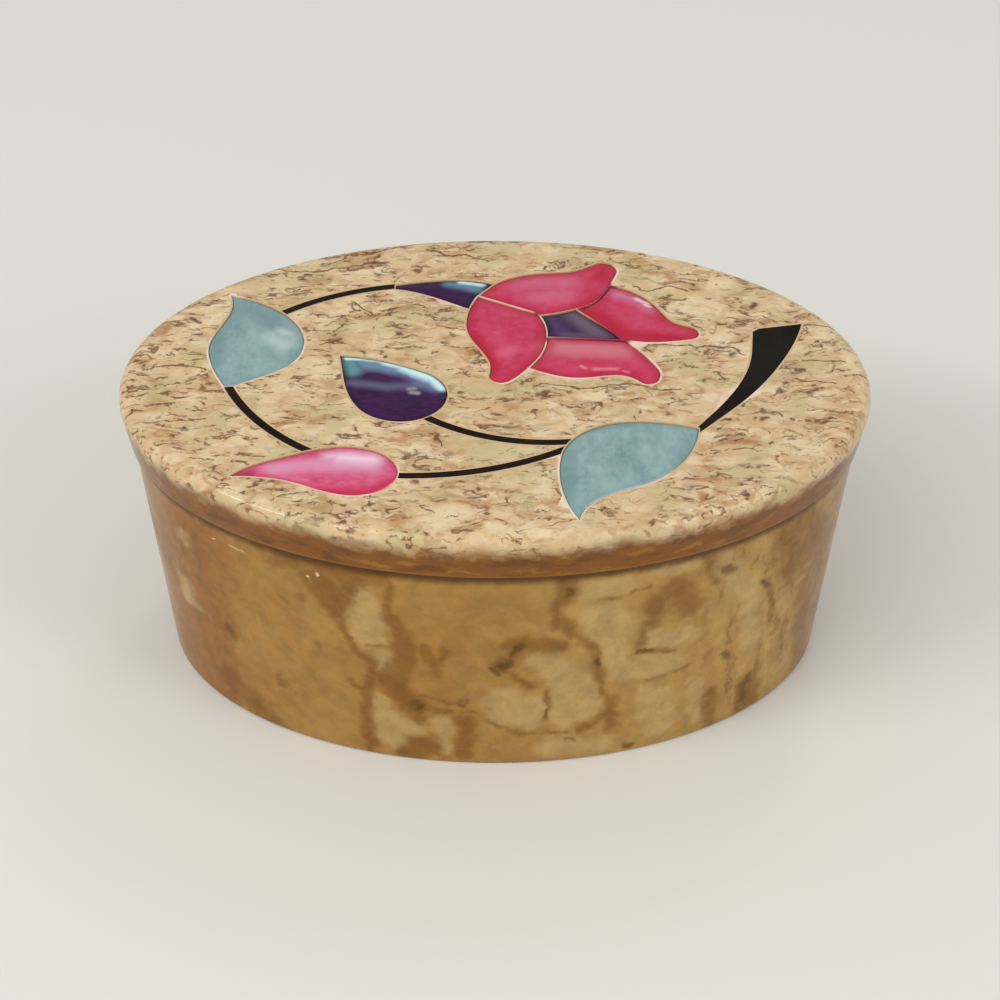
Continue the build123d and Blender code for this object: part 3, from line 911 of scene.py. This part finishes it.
def buildLid(sizes, tree):
    low = baseSizes["height"]
    top = low + sizes["height"]
    plug = low - sizes["plugDepth"]
    inPlug = sideAt(plug) + baseSizes["wall"] + sizes["plugClearance"]
    lean = sizes["edge"] / (sizes["height"] - sizes["edgeRound"])
    outline = roundCorners([
        (inPlug + 8, plug, 0),
        (inPlug, plug, sizes["plugRound"]),
        (inPlug, low, 0),
        (sizes["edge"], low, sizes["seamRound"]),
        (sizes["edge"] - lean * sizes["height"], top, sizes["edgeRound"]),
        (12, top, 0),
    ])
    return turnedBody("stoneLid", outline, soapstoneLid, tree, sizes["steps"])


def pocketCutter():  # the pocket in the CAD lid, as a block that stands out of its top
    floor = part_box("setting_cement")[0].z
    work = bmesh.new()
    work.from_mesh(nodes["lid_slab"].data)
    bmesh.ops.remove_doubles(work, verts=work.verts, dist=weldGap)
    kept = {f for f in work.faces if all(abs(v.co.z - floor) < flatGap for v in f.verts)}
    bmesh.ops.delete(work, geom=[f for f in work.faces if f not in kept], context="FACES")
    bmesh.ops.delete(work, geom=[v for v in work.verts if not v.link_faces], context="VERTS")
    raised = bmesh.ops.extrude_face_region(work, geom=work.faces[:])["geom"]
    corners = [v for v in raised if isinstance(v, bmesh.types.BMVert)]
    bmesh.ops.translate(work, verts=corners, vec=(0, 0, 0.003))
    bmesh.ops.recalc_face_normals(work, faces=work.faces)
    mesh = bpy.data.meshes.new("pocketCutter")
    work.to_mesh(mesh)
    work.free()
    return linked("pocketCutter", mesh)


def cutPocket(lid, cutter):
    modifier = lid.modifiers.new("pocket", "BOOLEAN")
    modifier.operation = "DIFFERENCE"
    modifier.solver = "EXACT"
    modifier.object = cutter
    made = bakeModifiers(lid)
    made.attributes.remove(made.attributes["custom_normal"])
    made.set_sharp_from_angle(angle=math.radians(35))
    bpy.data.objects.remove(cutter)


ovalTurning = makeOvalTurning()
stoneBox = buildBase(baseSizes, ovalTurning)
stoneLid = buildLid(lidSizes, ovalTurning)
cutPocket(stoneLid, pocketCutter())
for body, piece, node in (("base", stoneBox, "box_base"), ("lid", stoneLid, "lid_slab")):
    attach(piece, body)
    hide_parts(node)
print("stone bodies turned:", len(stoneBox.data.polygons), len(stoneLid.data.polygons), "faces")

shellShape = {
    "spacing": 0.32,  # between the points of the mesh
    "edgeDrop": 0.07, "edgeReach": 0.35,  # the sharp edge is rubbed down
    "crownDrop": 0.2, "crownReach": 4.5,  # the polished face is a little rounded
}


def flatOutline(node):  # the corners round a CAD piece's flat top, in order, in millimetres
    work = bmesh.new()
    work.from_mesh(nodes[node].data)
    bmesh.ops.remove_doubles(work, verts=work.verts, dist=weldGap)
    top = max(v.co.z for v in work.verts)
    faces = {f for f in work.faces if all(v.co.z > top - flatGap for v in f.verts)}
    following = {}
    for face in faces:
        for loop in face.loops:
            if not any(other in faces and other is not face for other in loop.edge.link_faces):
                following[loop.vert] = loop.link_loop_next.vert
    start = next(iter(following))
    outline, vertex = [], start
    while True:
        outline.append((vertex.co.x / mm, vertex.co.y / mm))
        vertex = following[vertex]
        if vertex is start:
            break
    work.free()
    return outline


def spread(outline, spacing):  # points added along long sides
    points = []
    for first, second in zip(outline, outline[1:] + outline[:1]):
        a, b = Vector(first), Vector(second)
        parts = max(1, round((b - a).length / spacing))
        points += [a.lerp(b, k / parts) for k in range(parts)]
    return points


def rimDistance(points, outline):
    p = np.array(points)[:, None, :]
    a = np.array(outline)[None, :, :]
    b = np.roll(a, -1, axis=1)
    span = b - a
    share = np.clip(((p - a) * span).sum(2) / (span * span).sum(2), 0, 1)[..., None]
    return np.sqrt((((p - a) - share * span) ** 2).sum(2)).min(1)


def insideOutline(points, outline):
    p = np.array(points)
    a = np.array(outline)
    b = np.roll(a, -1, axis=0)
    x, y = p[:, :1], p[:, 1:]
    crosses = (a[:, 1] > y) != (b[:, 1] > y)
    rise = np.where(b[:, 1] == a[:, 1], 1, b[:, 1] - a[:, 1])
    cut = a[:, 0] + (y - a[:, 1]) * (b[:, 0] - a[:, 0]) / rise
    return (crosses & (x < cut)).sum(1) % 2 == 1


def buildShell(node, finish, values):
    low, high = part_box(node)
    outline = spread(flatOutline(node), values["spacing"])
    rim = [tuple(p) for p in outline]
    step = values["spacing"]
    rows = np.arange(low.y / mm, high.y / mm, step * 0.866)
    grid = [
        (x + (step / 2 if k % 2 else 0), y)
        for k, y in enumerate(rows)
        for x in np.arange(low.x / mm, high.x / mm, step)
    ]
    kept = insideOutline(grid, rim) & (rimDistance(grid, rim) > step * 0.45)
    inner = [place for place, keep in zip(grid, kept) if keep]
    edges = [(k, (k + 1) % len(rim)) for k in range(len(rim))]
    flat = geometry.delaunay_2d_cdt([Vector(p) for p in rim + inner], edges, [], 1, 0.00001)
    places = [tuple(v) for v in flat[0]]
    depth = rimDistance(places, rim)
    drop = values["edgeDrop"] * np.clip(1 - depth / values["edgeReach"], 0, 1) ** 2
    drop += values["crownDrop"] * np.clip(1 - depth / values["crownReach"], 0, 1) ** 2
    vertices = [(x * mm, y * mm, high.z - d * mm) for (x, y), d in zip(places, drop)]
    vertices += [(x * mm, y * mm, low.z) for x, y in places]
    total = len(places)
    faces = [tuple(f) for f in flat[2]]
    faces += [tuple(k + total for k in reversed(f)) for f in flat[2]]
    sides = {}
    for face in flat[2]:
        for a, b in zip(face, face[1:] + face[:1]):
            sides[(a, b)] = True
    faces += [(a, a + total, b + total, b) for a, b in sides if (b, a) not in sides]
    mesh = bpy.data.meshes.new(node + "Shell")
    mesh.from_pydata(vertices, [], faces)
    depths = np.tile(depth, 2).astype(np.float32)
    mesh.attributes.new("rim", "FLOAT", "POINT").data.foreach_set("value", depths)
    mesh.shade_smooth()
    mesh.materials.append(finish)
    piece = linked(node + "_shell", mesh)
    faceOutward(mesh)
    mesh.set_sharp_from_angle(angle=math.radians(40))
    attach(piece, "lid")
    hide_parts(node)
    return len(faces)


shellFaces = [buildShell(node, shellFinishes[name], shellShape) for node, name in shells.items()]
print("shell pieces:", sum(shellFaces), "faces")

blackPieces = ("stem_upper", "stem_left", "stem_lower", "stem_branch", "flared_stalk")
kept = {"setting_cement": palePaste, **dict.fromkeys(blackPieces, blackInlay)}
for name, material in kept.items():
    nodes[name].data.materials.clear()
    nodes[name].data.materials.append(material)
print("cement and black stone dressed")

studio = {
    "floor": colour(227, 226, 221),
    "backdrop": colour(226, 224, 220),
    "worldGlow": 0.73,
    "floorReach": 4,
    "floorRoughness": 0.9,
    "aim": (0, 0, 0.03),  # every lamp looks at the middle of the box
    # name, place, width, height, watts, colour; the strip draws the bright line on the rim
    "lamps": [
        ("keyLamp", (-0.45, -0.7, 1), 0.9, 0.9, 4.2, (1, 0.99, 0.97)),
        ("stripLamp", (-0.86, -0.42, 0.72), 0.5, 0.05, 3, (1, 0.99, 0.97)),
        ("fillLamp", (0.8, -0.6, 0.7), 0.5, 0.5, 2.8, (1, 0.98, 0.95)),
        ("backLamp", (0.3, 0.75, 1.1), 0.3, 0.3, 1, (0.97, 0.99, 1)),
    ],
}


def buildFloor(values):
    mesh = bpy.data.meshes.new("floor")
    far = values["floorReach"]
    corners = [(-far, -far, 0), (far, -far, 0), (far, far, 0), (-far, far, 0)]
    mesh.from_pydata(corners, [], [(0, 1, 2, 3)])
    floor = linked("floor", mesh)
    material = bpy.data.materials.new("paleFloor")
    material.use_nodes = True
    shader = material.node_tree.nodes["Principled BSDF"]
    shader.inputs["Base Color"].default_value = values["floor"]
    shader.inputs["Roughness"].default_value = values["floorRoughness"]
    mesh.materials.append(material)


def buildLight(values):
    world = bpy.data.worlds.new("studio")
    bpy.context.scene.world = world
    world.use_nodes = True
    back = world.node_tree.nodes["Background"]
    back.inputs[0].default_value = values["backdrop"]
    back.inputs[1].default_value = values["worldGlow"]
    for name, place, width, height, watts, tint in values["lamps"]:
        data = bpy.data.lights.new(name, "AREA")
        data.shape = "ELLIPSE"
        data.size = width
        data.size_y = height
        data.energy = watts
        data.color = tint
        lamp = bpy.data.objects.new(name, data)
        lamp.location = place
        towards = Vector(values["aim"]) - Vector(place)
        lamp.rotation_euler = towards.to_track_quat("-Z", "Y").to_euler()
        bpy.context.scene.collection.objects.link(lamp)


buildFloor(studio)
buildLight(studio)
bpy.context.scene.view_settings.view_transform = "Standard"
print("floor and light ready")
